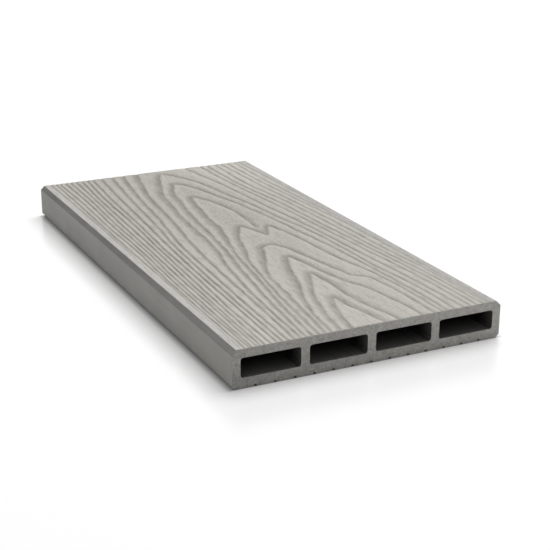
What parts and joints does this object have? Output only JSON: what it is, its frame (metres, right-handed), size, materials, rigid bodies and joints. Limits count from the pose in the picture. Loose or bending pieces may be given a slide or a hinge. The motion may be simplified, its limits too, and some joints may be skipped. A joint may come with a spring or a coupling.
{
  "type": "composite fence board",
  "caption": "Hollow extruded wood-plastic composite fence board: rectangular chambers, bevelled long edges, grooved back and a wood-grain embossed face, sawn to a short length.",
  "frame": {"origin": "middle of the back face, on the plane that the board rests on", "axes": "+X across the board, +Y along the extrusion towards the rear sawn end, +Z out of the embossed show face"},
  "size_m": [0.15, 0.3, 0.02],
  "materials": {
    "composite": "light grey wood-plastic composite, matte, wood-grain embossed on the show face"
  },
  "bodies": {
    "root": {"fence_board": "composite"}
  },
  "joints": []
}
